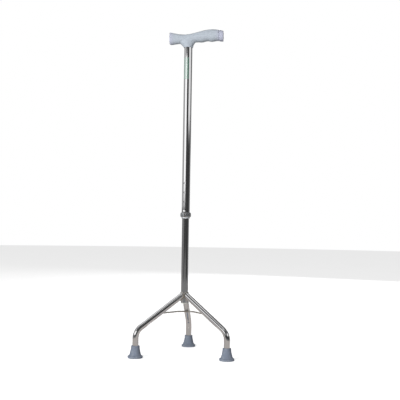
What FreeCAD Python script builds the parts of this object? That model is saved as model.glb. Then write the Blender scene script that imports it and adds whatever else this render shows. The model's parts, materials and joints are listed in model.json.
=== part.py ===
import FreeCAD, Part
import math
import os
import Sketcher
from FreeCAD import Placement, Rotation, Vector

# Adjustable walking cane on a three-legged base.
# Frame: millimetres, +Z up, origin on the shaft's axis in the plane that the three tips stand on.
# The grip points along +X, its thumb wing along -X, and one leg runs back along +Y.

DIMENSIONS = {
    # shaft
    "neck_height": 830.0,          # floor to the handle's lower end
    "sleeve_end_height": 372.0,    # floor to the upper tube's lower end
    "socket_depth": 28.0,          # how far the upper tube goes into the handle
    "upper_od": 22.0,
    "upper_wall": 1.2,
    "tube_gap": 0.3,               # radial, between the two tubes
    "lower_wall": 1.2,
    "lower_tube_bottom": 139.5,
    "lower_tube_top": 634.0,
    "slide_clearance": 0.06,       # radial, between the tubes' guides and what runs in them
    # height stop
    "button_rise": 13.8,           # upper tube's lower end to the first stop hole
    "hole_pitch": 25.0,
    "hole_count": 4,
    "button_radius": 2.92,
    "button_play": 0.08,           # radial, between the button and its holes
    "button_proud": 3.0,           # how far the button stands out of the upper tube
    "flange_gap": 1.1,             # lower tube's bore to the middle of the button's flange
    "flange_thickness": 0.8,
    "flange_radius": 3.9,
    "dome_flat": 0.22,             # radius left flat on the button's dome
    "spring_strip": 0.5,
    "spring_seat": 0.013,          # between the spring's edges and the lower tube's bore
    "spring_width": 5.6,
    "spring_drop": 34.0,           # button's axis to the start of the spring's bend
    "spring_rise": 7.0,            # button's axis to the spring's tips
    # collet and lock nut
    "collet_wall": 1.2,
    "collet_grip": 8.0,            # length of the collet's sleeve on the upper tube
    "finger_length": 6.0,
    "finger_slot": 1.0,
    "slot_stop": 0.4,              # from the upper tube's end to the slots' tops
    "finger_count": 4,
    "lip_step": 0.2,               # how far the lip stands out past the upper tube
    "lip_height": 3.4,
    "nut_wall": 2.12,
    "nut_height": 12.6,
    "nut_skirt": 2.4,              # how far the nut reaches below the upper tube's end
    "nut_clearance": 0.08,
    "nut_step_gap": 0.3,           # collet's top to the step inside the nut
    "nut_foot_inset": 1.5,
    "nut_foot_height": 2.2,
    "nut_shoulder_inset": 0.8,
    "nut_shoulder_height": 3.6,
    "nut_crown_inset": 2.4,
    "nut_crown_height": 1.4,
    "flute_stop": 4.5,             # how much of the nut's height the flutes leave
    "flute_radius": 1.7,
    "flute_depth": 0.6,
    "flute_count": 12,
    # legs
    "leg_od": 16.0,
    "leg_wall": 1.2,
    "leg_axis_height": 164.0,      # where the legs' centrelines meet the shaft's axis
    "leg_reach": 138.0,            # shaft axis to the middle of each tip
    "leg_slope": 34.6,             # degrees below level
    "leg_bend_radius": 34.0,
    "weld_width": 1.8,
    # brace rod under the legs
    "rod_radius": 2.0,
    "rod_reach": 66.0,             # shaft axis to the rod's ends, measured out along the side legs
    "rod_rear_reach": 64.0,        # shaft axis to the rod's bend, under the rear leg
    "rod_drop": 5.0,               # rod's ends below the side legs' centrelines
    "rod_corner": 110.0,           # shaft axis to where the rod's two arms would cross
    "rod_bite": 0.4,               # how deep the rod sinks into the rear leg at the weld
    "rod_weld": 1.2,
    # rubber tips
    "tip_radius": 20.0,
    "tip_height": 32.0,
    "tip_flange": 6.0,
    "tip_waist_radius": 14.2,
    "tip_waist_height": 12.0,
    "tip_wall": 2.8,               # rubber round the leg at the tip's mouth
    "tip_bevel": 1.2,              # at the foot's upper edge
    "tip_tread_bevel": 1.0,
    "tip_flare": 1.6,              # how much wider the tip is just above its foot than at its waist
    "tip_flare_drop": 3.4,
    "tip_floor": 6.0,              # rubber under the washer
    "tread_depth": 1.4,
    "tread_width": 2.2,
    "washer_thickness": 1.5,
    "washer_hole": 3.0,
    "washer_inset": 0.2,           # radial, inside the tip's bore
    # stem plug
    "plug_flange": 2.5,
    "plug_length": 12.0,
    "plug_bevel": 0.8,
    # guide bush on the lower tube's top
    "bush_collar": 4.0,
    "bush_skirt": 14.0,
    "bush_bore": 6.5,
    "bush_lead": 0.8,
    # handle
    "grip_length": 84.0,           # shaft axis to the end cap
    "cap_length": 11.0,
    "wing_length": 51.4,
    "neck_wall": 1.75,             # plastic round the tube at the neck's lower end
    "wing_round": 1.6,
    "insert_length": 24.0,
    "insert_bevel": 1.0,
    "cap_spigot_radius": 8.0,
    "cap_spigot_length": 9.0,
    "screw_rise": 14.0,            # neck's lower end to the screw
    "screw_radius": 1.75,
    "screw_play": 0.35,
    "screw_length": 8.0,
    "screw_point": 1.2,
    "screw_point_inset": 0.6,
    "screw_dome": 1.2,
    "screw_recess_gap": 0.3,       # radial, round the screw's head
    "screw_head_radius": 3.5,
    "screw_head_height": 1.9,
    "screw_recess": 0.65,          # the head's seat, inside the neck's radius
    "driver_slot_width": 0.9,
    "driver_slot_depth": 0.9,
    # blank marking film on the upper tube
    "film_thickness": 0.15,
    "film_height": 59.0,
    "film_gap": 28.0,              # below the handle
    "film_sweep": 110.0,
}

BUTTON_AZIMUTH = 255.0             # degrees from +X, the side the button faces
LEG_AZIMUTHS = {"left": 210.0, "right": 330.0, "rear": 90.0}
FILM_START = 178.0                 # azimuth of the film's first edge

doc = FreeCAD.newDocument("walking_cane")
sheet = doc.addObject("Spreadsheet::Sheet", "Dimensions")
for row, (alias, number) in enumerate(DIMENSIONS.items(), start=1):
    sheet.set(f"A{row}", alias)
    sheet.set(f"B{row}", str(number))
    sheet.setAlias(f"B{row}", alias)
doc.recompute()


class Size:
    """A number together with the spreadsheet expression that drives it."""

    def __init__(self, value, text):
        self.value = float(value)
        self.text = text

    def __add__(self, other):
        other = size(other)
        return Size(self.value + other.value, f"({self.text} + {other.text})")

    def __sub__(self, other):
        other = size(other)
        return Size(self.value - other.value, f"({self.text} - {other.text})")

    def __mul__(self, other):
        other = size(other)
        return Size(self.value * other.value, f"({self.text} * {other.text})")

    def __truediv__(self, other):
        other = size(other)
        return Size(self.value / other.value, f"({self.text} / {other.text})")

    def __radd__(self, other):
        return size(other) + self

    def __rsub__(self, other):
        return size(other) - self

    def __rmul__(self, other):
        return size(other) * self

    def __rtruediv__(self, other):
        return size(other) / self

    def __neg__(self):
        return Size(-self.value, f"(-1 * {self.text})")


def size(item):
    return item if isinstance(item, Size) else Size(item, f"({item})" if item < 0 else str(item))


def dim(alias):
    return Size(sheet.get(alias), f"Dimensions.{alias}")


def sine(angle):
    return Size(math.sin(math.radians(angle.value)), f"sin({angle.text})")


def cosine(angle):
    return Size(math.cos(math.radians(angle.value)), f"cos({angle.text})")


def tangent(angle):
    return Size(math.tan(math.radians(angle.value)), f"tan({angle.text})")


def arc_tangent(ratio):
    return Size(math.degrees(math.atan(ratio.value)), f"atan({ratio.text})")


def root(number):
    return Size(math.sqrt(number.value), f"sqrt({number.text})")


def move(x, y, z, axis=(0, 0, 1), angle=0):
    """The expression of a placement: turned about an axis, then moved."""
    x, y, z, angle = size(x), size(y), size(z), size(angle)
    turned = f"rotation(vector({axis[0]}; {axis[1]}; {axis[2]}); {angle.text})"
    return f"placement(vector({x.text}; {y.text}; {z.text}); {turned})"


# ---- PartDesign helpers ----

def new_body(name):
    body = doc.addObject("PartDesign::Body", name)
    body.Label = name
    return body


def new_sketch(body, name, role, offset=None):
    """A sketch on one of the body's own origin planes, moved by an offset expression."""
    plane = next(f for f in body.Origin.OriginFeatures if f.Role == role)
    sketch = body.newObject("Sketcher::SketchObject", name)
    sketch.AttachmentSupport = [(plane, "")]
    sketch.MapMode = "FlatFace"
    if offset:
        sketch.setExpression("AttachmentOffset", offset)
    return sketch


def bind(sketch, constraint, driver):
    index = sketch.addConstraint(constraint)
    if "Dimensions" in driver.text:
        sketch.setExpression(f"Constraints[{index}]", driver.text)


def pin(sketch, curve, end, x, y):
    """Hold one end of a curve at x, y."""
    x, y = size(x), size(y)
    if x.value == 0:
        sketch.addConstraint(Sketcher.Constraint("PointOnObject", curve, end, -2))
    else:
        bind(sketch, Sketcher.Constraint("DistanceX", -1, 1, curve, end, x.value), x)
    if y.value == 0:
        sketch.addConstraint(Sketcher.Constraint("PointOnObject", curve, end, -1))
    else:
        bind(sketch, Sketcher.Constraint("DistanceY", -1, 1, curve, end, y.value), y)


def vector_of(point):
    return Vector(size(point[0]).value, size(point[1]).value, 0)


def draw_polygon(sketch, points):
    """A closed outline of straight lines with every corner held."""
    lines = []
    for start, end in zip(points, points[1:] + points[:1]):
        lines.append(sketch.addGeometry(Part.LineSegment(vector_of(start), vector_of(end)), False))
    for line, following in zip(lines, lines[1:] + lines[:1]):
        sketch.addConstraint(Sketcher.Constraint("Coincident", line, 2, following, 1))
    for line, point in zip(lines, points):
        pin(sketch, line, 1, *point)


def draw_circle(sketch, x, y, radius):
    centre = vector_of((x, y))
    circle = sketch.addGeometry(Part.Circle(centre, Vector(0, 0, 1), radius.value), False)
    pin(sketch, circle, 3, x, y)
    bind(sketch, Sketcher.Constraint("Radius", circle, radius.value), radius)


def draw_line(sketch, start, end):
    line = sketch.addGeometry(Part.LineSegment(vector_of(start), vector_of(end)), False)
    pin(sketch, line, 1, *start)
    pin(sketch, line, 2, *end)
    return line


def draw_arc(sketch, centre, radius, first, last):
    """An anticlockwise arc, from first to last in degrees; its ends are joined by the caller."""
    circle = Part.Circle(vector_of(centre), Vector(0, 0, 1), radius.value)
    arc = Part.ArcOfCircle(circle, math.radians(first), math.radians(last))
    curve = sketch.addGeometry(arc, False)
    if last - first == 180:
        bind(sketch, Sketcher.Constraint("DistanceY", -1, 1, curve, 3, centre[1].value), centre[1])
    else:
        bind(sketch, Sketcher.Constraint("Radius", curve, radius.value), radius)
    return curve


def join(sketch, *ends):
    curve, end, other, other_end = ends
    sketch.addConstraint(Sketcher.Constraint("Coincident", curve, end, other, other_end))


def revolve(body, name, points, angle=360):
    """Turn an outline of (radius, height) corners about the body's Z axis."""
    sketch = new_sketch(body, f"{name}_outline", "XZ_Plane")
    draw_polygon(sketch, points)
    turned = body.newObject("PartDesign::Revolution", name)
    turned.Profile = sketch
    turned.ReferenceAxis = (sketch, ["V_Axis"])
    turned.Angle = 360
    if isinstance(angle, Size):
        turned.setExpression("Angle", angle.text)
    doc.recompute()
    return turned


def pocket(body, name, sketch, depth=None, reverse=False):
    """Cut a sketch to a depth, or right through both ways, and make sure that it cut something."""
    before = body.Shape.Volume
    cut = body.newObject("PartDesign::Pocket", name)
    cut.Profile = sketch
    if depth is None:
        cut.Type = "ThroughAll"
        cut.SideType = "Symmetric"
    else:
        cut.Type = "Length"
        cut.Reversed = reverse
        cut.setExpression("Length", depth.text)
    doc.recompute()
    if body.Shape.Volume > before - 1e-3:
        raise RuntimeError(f"{name} cuts nothing")
    return cut


def pattern(body, name, original, axis_of, count, angle=360):
    """Repeat a cut round the Z axis."""
    turned = body.newObject("PartDesign::PolarPattern", name)
    turned.Originals = [original]
    turned.Axis = (axis_of, ["N_Axis"])
    turned.Angle = angle
    turned.setExpression("Occurrences", count.text)
    body.Tip = turned
    doc.recompute()


def round_edges(body, name, radius, wanted):
    """Fillet the edges whose ring radius and height both match one of the wanted pairs."""
    names = []
    for number, edge in enumerate(body.Shape.Edges, start=1):
        curve = edge.Curve
        if not isinstance(curve, Part.Circle):
            continue
        for ring, height in wanted:
            if abs(curve.Radius - ring.value) < 1e-4 and abs(curve.Center.z - height.value) < 1e-4:
                names.append(f"Edge{number}")
    if not names:
        raise RuntimeError(f"{name} finds no edge")
    base = body.Tip
    fillet = body.newObject("PartDesign::Fillet", name)
    fillet.Base = (base, names)
    fillet.setExpression("Radius", radius.text)
    doc.recompute()


def place(item, expression):
    item.setExpression("Placement", expression)


# ---- values that several pieces share ----

upper_r = dim("upper_od") / 2
upper_bore = upper_r - dim("upper_wall")
lower_r = upper_bore - dim("tube_gap")
lower_bore = lower_r - dim("lower_wall")
leg_r = dim("leg_od") / 2
sleeve_end = dim("sleeve_end_height")
button_height = sleeve_end + dim("button_rise")
button_floor = lower_bore - dim("flange_gap") - dim("flange_thickness")
hole_r = dim("button_radius") + dim("button_play")
lip_r = upper_r + dim("lip_step")
neck = dim("neck_height")
neck_r = upper_r + dim("neck_wall")
upper_length = neck + dim("socket_depth") - sleeve_end
screw_seat = neck_r - dim("screw_recess")
screw_hole_r = dim("screw_radius") + dim("screw_play")
leg_end = dim("tip_floor") + dim("washer_thickness")
slope = dim("leg_slope")
corner_height = dim("leg_axis_height") - dim("leg_reach") * tangent(slope)
bend_setback = dim("leg_bend_radius") * tangent((90 - slope) / 2)
TURN = f"placement(vector(0; 0; 0); rotation(vector(0; 0; 1); {BUTTON_AZIMUTH - 270.0}))"


def on_tube(height):
    """The tubes' own turn, which brings their -Y side round to face the way the button does."""
    return f"{TURN} * {move(0, 0, height)}"


# ---- shaft ----

def make_tube(name, radius, bore, length, bottom):
    body = new_body(name)
    sketch = new_sketch(body, f"{name}_ring", "XY_Plane")
    draw_circle(sketch, 0, 0, radius)
    draw_circle(sketch, 0, 0, bore)
    pad = body.newObject("PartDesign::Pad", f"{name}_wall")
    pad.Profile = sketch
    pad.setExpression("Length", length.text)
    doc.recompute()
    place(body, on_tube(bottom))
    return body


def drill(body, name, height, radius, reach, towards_back):
    """A round hole through one wall, on the -Y side or, towards the back, on the +Y side."""
    sketch = new_sketch(body, f"{name}_circle", "XZ_Plane")
    draw_circle(sketch, 0, height, radius)
    return sketch, pocket(body, name, sketch, reach, reverse=not towards_back)


def make_upper_tube():
    body = make_tube("upper_tube", upper_r, upper_bore, upper_length, sleeve_end)
    drill(body, "screw_hole", upper_length - dim("socket_depth") + dim("screw_rise"),
          screw_hole_r, dim("upper_od"), True)
    sketch, first = drill(body, "stop_hole", dim("button_rise"), hole_r, dim("upper_od"), False)
    row = body.newObject("PartDesign::LinearPattern", "stop_holes")
    row.Originals = [first]
    row.Direction = (sketch, ["V_Axis"])
    row.setExpression("Length", (dim("hole_pitch") * (dim("hole_count") - 1)).text)
    row.setExpression("Occurrences", dim("hole_count").text)
    body.Tip = row
    doc.recompute()
    return body


def make_lower_tube():
    bottom = dim("lower_tube_bottom")
    body = make_tube("lower_tube", lower_r, lower_bore, dim("lower_tube_top") - bottom, bottom)
    drill(body, "button_hole", button_height - bottom, hole_r, lower_r * 2, False)
    return body


def make_guide_bush():
    body = new_body("guide_bush")
    collar = dim("bush_collar")
    running_r = upper_bore - dim("slide_clearance")
    revolve(body, "guide_bush_turned", [
        (dim("bush_bore"), -dim("bush_skirt")), (lower_bore, -dim("bush_skirt")), (lower_bore, 0),
        (running_r, 0), (running_r, collar), (dim("bush_bore"), collar)])
    round_edges(body, "guide_bush_lead", dim("bush_lead"), [(running_r, collar)])
    place(body, move(0, 0, dim("lower_tube_top")))
    return body


def make_stem_plug():
    body = new_body("stem_plug")
    flange = dim("plug_flange")
    revolve(body, "stem_plug_turned", [
        (0, -flange), (lower_r, -flange), (lower_r, 0), (lower_bore, 0),
        (lower_bore, dim("plug_length")), (0, dim("plug_length"))])
    round_edges(body, "stem_plug_bevel", dim("plug_bevel"), [(lower_r, -flange)])
    place(body, move(0, 0, dim("lower_tube_bottom")))
    return body


# ---- height stop ----

def across_tube(height):
    """Local +Z becomes the way the button faces, at a height on the shaft."""
    return f"{TURN} * {move(0, 0, height, (1, 0, 0), 90)}"


def make_snap_button():
    body = new_body("snap_button")
    floor = button_floor
    step = floor + dim("flange_thickness")
    top = upper_r + dim("button_proud")
    pin_r = dim("button_radius")
    revolve(body, "snap_button_turned", [
        (0, floor), (dim("flange_radius"), floor), (dim("flange_radius"), step),
        (pin_r, step), (pin_r, top), (0, top)])
    round_edges(body, "snap_button_dome", pin_r - dim("dome_flat"), [(pin_r, top)])
    place(body, across_tube(button_height))
    return body


def make_snap_spring():
    """A flat strip bent to a U: one leg carries the button, the other bears on the far wall."""
    body = new_body("snap_spring")
    strip, width = dim("spring_strip"), dim("spring_width")
    front = button_floor - strip / 2
    bearing = root(lower_bore * lower_bore - width * width / 4) - dim("spring_seat")
    back = -(bearing - strip / 2)
    bend_r = (front - back) / 2
    middle = (front + back) / 2
    low, high = -dim("spring_drop"), dim("spring_rise")
    path = new_sketch(body, "spring_path", "YZ_Plane")
    carrier = draw_line(path, (-front, high), (-front, low))
    bearer = draw_line(path, (-back, low), (-back, high))
    bend = draw_arc(path, (-middle, low), bend_r, 180, 360)
    join(path, bend, 1, carrier, 2)
    join(path, bend, 2, bearer, 1)
    section = new_sketch(body, "spring_section", "XY_Plane", move(0, 0, high))
    draw_polygon(section, [
        (-width / 2, -front - strip / 2), (width / 2, -front - strip / 2),
        (width / 2, -front + strip / 2), (-width / 2, -front + strip / 2)])
    sweep = body.newObject("PartDesign::AdditivePipe", "spring_strip")
    sweep.Profile = section
    sweep.Spine = path
    doc.recompute()
    place(body, on_tube(button_height))
    return body


# ---- collet and lock nut ----

def make_collet():
    """A split bush: its sleeve holds the upper tube's end, its fingers close on the lower tube."""
    body = new_body("collet")
    sleeve_r = upper_r + dim("collet_wall")
    finger_bore = lower_r + dim("slide_clearance")
    bottom, lip_top = -dim("finger_length"), -dim("finger_length") + dim("lip_height")
    cone_top = dim("collet_wall") / 2
    revolve(body, "collet_turned", [
        (finger_bore, bottom), (lip_r, bottom), (lip_r, lip_top),
        (sleeve_r, cone_top), (sleeve_r, dim("collet_grip")), (upper_r, dim("collet_grip")),
        (upper_r, 0), (finger_bore, 0)])
    slot = new_sketch(body, "finger_slot_outline", "XZ_Plane")
    half = dim("finger_slot") / 2
    stop = -dim("slot_stop")
    draw_polygon(slot, [(-half, bottom - 1), (half, bottom - 1), (half, stop), (-half, stop)])
    cut = pocket(body, "finger_slot", slot)
    top = new_sketch(body, "collet_axis", "XY_Plane")
    pattern(body, "finger_slots", cut, top, dim("finger_count") / 2, 90)
    place(body, move(0, 0, sleeve_end))
    return body


def make_lock_nut():
    """The fluted nut that squeezes the collet; its bore follows the collet with a gap."""
    body = new_body("lock_nut")
    gap = dim("nut_clearance")
    sleeve_r = upper_r + dim("collet_wall") + gap
    bottom = -dim("nut_skirt")
    top = bottom + dim("nut_height")
    step = dim("collet_grip") + dim("nut_step_gap")
    lip_top = -dim("finger_length") + dim("lip_height")
    cone_top = dim("collet_wall") / 2
    cone_share = (bottom - lip_top) / (cone_top - lip_top)
    mouth_r = lip_r + (sleeve_r - gap - lip_r) * cone_share + gap * 2
    outer = sleeve_r + dim("nut_wall")
    revolve(body, "lock_nut_turned", [
        (mouth_r, bottom), (outer - dim("nut_foot_inset"), bottom),
        (outer, bottom + dim("nut_foot_height")), (outer, top - dim("nut_shoulder_height")),
        (outer - dim("nut_shoulder_inset"), top - dim("nut_crown_height")),
        (outer - dim("nut_crown_inset"), top), (upper_r + gap, top),
        (upper_r + gap, step), (sleeve_r, step), (sleeve_r, cone_top)])
    flute = new_sketch(body, "flute_circle", "XY_Plane", move(0, 0, bottom))
    draw_circle(flute, outer + dim("flute_radius") - dim("flute_depth"), 0, dim("flute_radius"))
    cut = pocket(body, "flute", flute, dim("nut_height") - dim("flute_stop"), reverse=True)
    pattern(body, "flutes", cut, flute, dim("flute_count"))
    place(body, move(0, 0, sleeve_end))
    return body


# ---- legs and their welds ----

def turned_to(azimuth, x=0, z=0):
    return f"{move(0, 0, 0, (0, 0, 1), azimuth)} * {move(x, 0, z)}"


def cut_leg_seat(body, name):
    """Cope a leg or its weld to the stem."""
    stem = new_sketch(body, f"{name}_stem", "XY_Plane")
    draw_circle(stem, 0, 0, lower_r)
    pocket(body, f"{name}_cope", stem)


def cut_mitre(body, name):
    """Keep only a third of the circle, so that three legs meet without overlap."""
    far = dim("leg_od") * 3
    rise = far * math.sqrt(3)
    for side, sign in (("near", -1), ("far", 1)):
        wedge = new_sketch(body, f"{name}_{side}_wedge", "XY_Plane")
        draw_polygon(wedge, [(0, 0), (far, rise * sign), (-far, rise * sign), (-far, 0)])
        cut = body.newObject("PartDesign::Pocket", f"{name}_{side}_mitre")
        cut.Profile = wedge
        cut.Type = "ThroughAll"
        cut.SideType = "Symmetric"
    doc.recompute()


def make_leg(side):
    """A bent tube: level slope out from the stem, one bend, then straight down into its tip."""
    name = f"leg_{side}"
    body = new_body(name)
    reach, bend = dim("leg_reach"), dim("leg_bend_radius")
    low = corner_height - bend_setback
    slope_end = (reach - bend_setback * cosine(slope), corner_height + bend_setback * sine(slope))
    path = new_sketch(body, f"{name}_path", "XZ_Plane")
    upright = draw_line(path, (reach, leg_end), (reach, low))
    incline = draw_line(path, slope_end, (0, dim("leg_axis_height")))
    curve = draw_arc(path, (reach - bend, low), bend, 0, 90 - slope.value)
    join(path, curve, 1, upright, 2)
    join(path, curve, 2, incline, 1)
    ring = new_sketch(body, f"{name}_ring", "XY_Plane", move(0, 0, leg_end))
    draw_circle(ring, reach, 0, leg_r)
    draw_circle(ring, reach, 0, leg_r - dim("leg_wall"))
    sweep = body.newObject("PartDesign::AdditivePipe", f"{name}_tube")
    sweep.Profile = ring
    sweep.Spine = path
    doc.recompute()
    cut_leg_seat(body, name)
    cut_mitre(body, name)
    place(body, turned_to(LEG_AZIMUTHS[side]))
    return body


def leg_plane():
    """The plane square to a leg's slope, through the shaft's axis, from the YZ plane."""
    return move(0, dim("leg_axis_height"), 0, (1, 0, 0), slope)


def make_leg_weld(side):
    """The bead where a leg meets the stem: it stands proud of both by the weld's width."""
    name = f"leg_weld_{side}"
    body = new_body(name)
    width = dim("weld_width")
    disc = new_sketch(body, f"{name}_disc", "YZ_Plane", leg_plane())
    draw_circle(disc, 0, 0, leg_r + width)
    pad = body.newObject("PartDesign::Pad", f"{name}_blank")
    pad.Profile = disc
    pad.setExpression("Length", (lower_r * 4).text)
    doc.recompute()
    collar = new_sketch(body, f"{name}_collar", "XY_Plane")
    draw_circle(collar, 0, 0, lower_r + width)
    draw_circle(collar, 0, 0, lower_r * 8)
    pocket(body, f"{name}_trim", collar)
    cut_leg_seat(body, name)
    bore = new_sketch(body, f"{name}_bore", "YZ_Plane", leg_plane())
    draw_circle(bore, 0, 0, leg_r)
    pocket(body, f"{name}_leg", bore)
    cut_mitre(body, name)
    place(body, turned_to(LEG_AZIMUTHS[side]))
    return body


def leg_cylinders(name, radius):
    """The sloping part of all three legs as one solid, for cutting the brace to fit."""
    legs = []
    length = dim("leg_reach") / cosine(slope) - bend_setback
    for side, azimuth in LEG_AZIMUTHS.items():
        leg = doc.addObject("Part::Cylinder", f"{name}_{side}")
        leg.setExpression("Radius", radius.text)
        leg.setExpression("Height", length.text)
        tilt = move(0, 0, dim("leg_axis_height"), (0, 1, 0), 90 + slope)
        place(leg, f"{move(0, 0, 0, (0, 0, 1), azimuth)} * {tilt}")
        legs.append(leg)
    joined = doc.addObject("Part::MultiFuse", name)
    joined.Shapes = legs
    return joined


# ---- brace rod ----

def make_rod(name, radius):
    """A round rod bent to a V: its bend passes under the rear leg, its arms reach the side legs."""
    body = new_body(name)
    end_x = dim("rod_reach") * math.sqrt(3) / 2
    end_y = -dim("rod_reach") / 2
    corner, rear = dim("rod_corner"), dim("rod_rear_reach")
    spread = arc_tangent(end_x / (corner - end_y))
    bend_r = (corner - rear) / (1 / sine(spread) - 1)
    setback = bend_r / tangent(spread)
    turn_x, turn_y = setback * sine(spread), corner - setback * cosine(spread)
    path = new_sketch(body, f"{name}_path", "XY_Plane")
    left = draw_line(path, (-end_x, end_y), (-turn_x, turn_y))
    right = draw_line(path, (turn_x, turn_y), (end_x, end_y))
    curve = draw_arc(path, (0, rear - bend_r), bend_r, spread.value, 180 - spread.value)
    join(path, curve, 1, right, 1)
    join(path, curve, 2, left, 2)
    section_at = move(-end_x, 0, -end_y, (0, 1, 0), -spread)
    section = new_sketch(body, f"{name}_section", "XZ_Plane", section_at)
    draw_circle(section, 0, 0, radius)
    sweep = body.newObject("PartDesign::AdditivePipe", f"{name}_bar")
    sweep.Profile = section
    sweep.Spine = path
    doc.recompute()
    end_height = dim("leg_axis_height") - dim("rod_reach") * tangent(slope) - dim("rod_drop")
    under = (leg_r + dim("rod_radius") - dim("rod_bite")) / cosine(slope)
    rear_height = dim("leg_axis_height") - rear * tangent(slope) - under
    tilt = arc_tangent((rear_height - end_height) / (rear - end_y))
    place(body, move(0, 0, end_height - end_y * sine(tilt), (1, 0, 0), tilt))
    return body


def boolean(kind, name, base, tool):
    made = doc.addObject(f"Part::{kind}", name)
    made.Base = base
    made.Tool = tool
    made.Label = name
    doc.recompute()
    return made


def make_brace():
    """The rod, coped to the legs, and the small weld beads where it touches them."""
    rod = make_rod("rod", dim("rod_radius"))
    cores = leg_cylinders("leg_cores", leg_r)
    brace = boolean("Cut", "leg_brace", rod, cores)
    thick_rod = make_rod("rod_weld_zone", dim("rod_radius") + dim("rod_weld"))
    thick_legs = leg_cylinders("leg_weld_zones", leg_r + dim("rod_weld"))
    zones = boolean("Common", "weld_zones", thick_rod, thick_legs)
    outside_legs = boolean("Cut", "welds_outside_legs", zones, cores)
    return brace, boolean("Cut", "brace_welds", outside_legs, rod)


# ---- tips ----

def at_foot(side):
    return turned_to(LEG_AZIMUTHS[side], dim("leg_reach"))


def make_tip(side):
    """A flared rubber foot, bored to sit on the leg, with a ring groove in its tread."""
    name = f"tip_{side}"
    body = new_body(name)
    outer, waist = dim("tip_radius"), dim("tip_waist_radius")
    mouth_r = leg_r + dim("tip_wall")
    tread, groove = dim("tread_depth"), outer / 2
    width = dim("tread_width")
    bevel, tread_bevel = dim("tip_bevel"), dim("tip_tread_bevel")
    revolve(body, f"{name}_turned", [
        (0, 0), (groove, 0), (groove, tread), (groove + width, tread), (groove + width, 0),
        (outer - tread_bevel, 0), (outer, tread_bevel), (outer, dim("tip_flange") - bevel),
        (outer - bevel, dim("tip_flange")),
        (waist + dim("tip_flare"), dim("tip_waist_height") - dim("tip_flare_drop")),
        (waist, dim("tip_waist_height")), (mouth_r, dim("tip_height")),
        (leg_r, dim("tip_height")), (leg_r, dim("tip_floor")), (0, dim("tip_floor"))])
    place(body, at_foot(side))
    return body


def make_washer(side):
    """The steel disc that keeps the leg's end from cutting through the tip."""
    name = f"tip_washer_{side}"
    body = new_body(name)
    bottom = dim("tip_floor")
    rim = leg_r - dim("washer_inset")
    revolve(body, f"{name}_turned", [
        (dim("washer_hole"), bottom), (rim, bottom), (rim, leg_end), (dim("washer_hole"), leg_end)])
    place(body, at_foot(side))
    return body


# ---- handle ----

def make_insert():
    """The plug inside the upper tube's top, which the handle's screw bites into."""
    body = new_body("handle_insert")
    length, bevel = dim("insert_length"), dim("insert_bevel")
    revolve(body, "handle_insert_turned", [
        (0, 0), (upper_bore - bevel, 0), (upper_bore, bevel), (upper_bore, length), (0, length)])
    screw_height = dim("screw_rise") - dim("socket_depth") + length
    circle = new_sketch(body, "pilot_circle", "XZ_Plane")
    draw_circle(circle, 0, screw_height, dim("screw_radius"))
    pocket(body, "pilot_hole", circle, dim("upper_od"))
    place(body, on_tube(neck + dim("socket_depth") - length))
    return body


def make_screw():
    body = new_body("handle_screw")
    head, head_r = dim("screw_head_height"), dim("screw_head_radius")
    length, shank_r = dim("screw_length"), dim("screw_radius")
    revolve(body, "handle_screw_turned", [
        (0, -length), (shank_r - dim("screw_point_inset"), -length),
        (shank_r, -length + dim("screw_point")), (shank_r, 0), (head_r, 0), (head_r, head), (0, head)])
    round_edges(body, "handle_screw_dome", dim("screw_dome"), [(head_r, head)])
    slot = new_sketch(body, "driver_slot_outline", "XY_Plane", move(0, 0, head))
    half = dim("driver_slot_width") / 2
    draw_polygon(slot, [(-half, -head_r), (half, -head_r), (half, head_r), (-half, head_r)])
    pocket(body, "driver_slot", slot, dim("driver_slot_depth"))
    place(body, f"{TURN} * {move(0, screw_seat, neck + dim('screw_rise'), (1, 0, 0), -90)}")
    return body


# The grip's cross-sections: share of the wing or grip length from the shaft's axis, then the
# heights of top and bottom above the neck's lower end, and the half width past the neck's radius.
WING_SECTIONS = [
    (1.00, 42.6, 9.4, 0.45), (0.90, 41.6, 8.4, 0.35), (0.70, 39.2, 9.8, 0.05),
    (0.48, 37.2, 11.3, 0.0), (0.23, 36.4, 12.4, 0.15)]
GRIP_SECTIONS = [
    (0.00, 37.1, 13.2, 0.45), (0.15, 39.6, 14.6, 0.85), (0.31, 43.1, 15.7, 1.25),
    (0.45, 46.4, 15.2, 1.75), (0.62, 49.1, 18.4, 1.95), (0.77, 50.3, 16.9, 2.35),
    (0.92, 49.3, 19.0, 2.15), (1.00, 48.0, 18.9, 1.75)]
# The cap's: share of its length, then the change in top, bottom and half width from the grip's end.
CAP_SECTIONS = [
    (0.00, 0.0, 0.0, 0.0), (0.11, 0.3, -0.9, 0.5), (0.68, -1.5, -1.3, 0.5),
    (0.89, -2.5, -0.9, 0.1), (1.00, -3.9, 0.5, -1.1)]
# The neck's: height above its lower end, middle and half length along X, and half width.
NECK_SECTIONS = [
    (0.0, 0.0, 0.0, 0.0), (4.0, -0.6, 1.3, 0.15), (9.0, -2.4, 4.6, 0.25),
    (14.0, -3.6, 9.4, 0.35), (25.0, -3.6, 12.5, 0.2)]
ROUNDNESS = 2.3                    # 2 is an ellipse; higher is squarer
SECTION_POINTS = 28


def oval(half_long, half_wide, along, across, middle, power=ROUNDNESS):
    """A closed smooth oval about a middle point, in the plane of two directions."""
    points = []
    for step in range(SECTION_POINTS):
        angle = 2 * math.pi * step / SECTION_POINTS
        reach = [math.copysign(abs(f(angle)) ** (2 / power), f(angle)) for f in (math.cos, math.sin)]
        points.append(middle + along * (half_long * reach[0]) + across * (half_wide * reach[1]))
    curve = Part.BSplineCurve()
    curve.interpolate(Points=points, PeriodicFlag=True)
    return Part.Wire(curve.toShape())


def upright_oval(x, top, bottom, wider):
    """An oval across the grip; its half width is the neck's radius and what is given."""
    middle = Vector(x, 0, (top + bottom) / 2)
    half_width = neck_r.value + wider
    return oval(half_width, (top - bottom) / 2, Vector(0, 1, 0), Vector(0, 0, 1), middle)


def loft(wires):
    return Part.makeLoft(wires, True, False)


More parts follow.
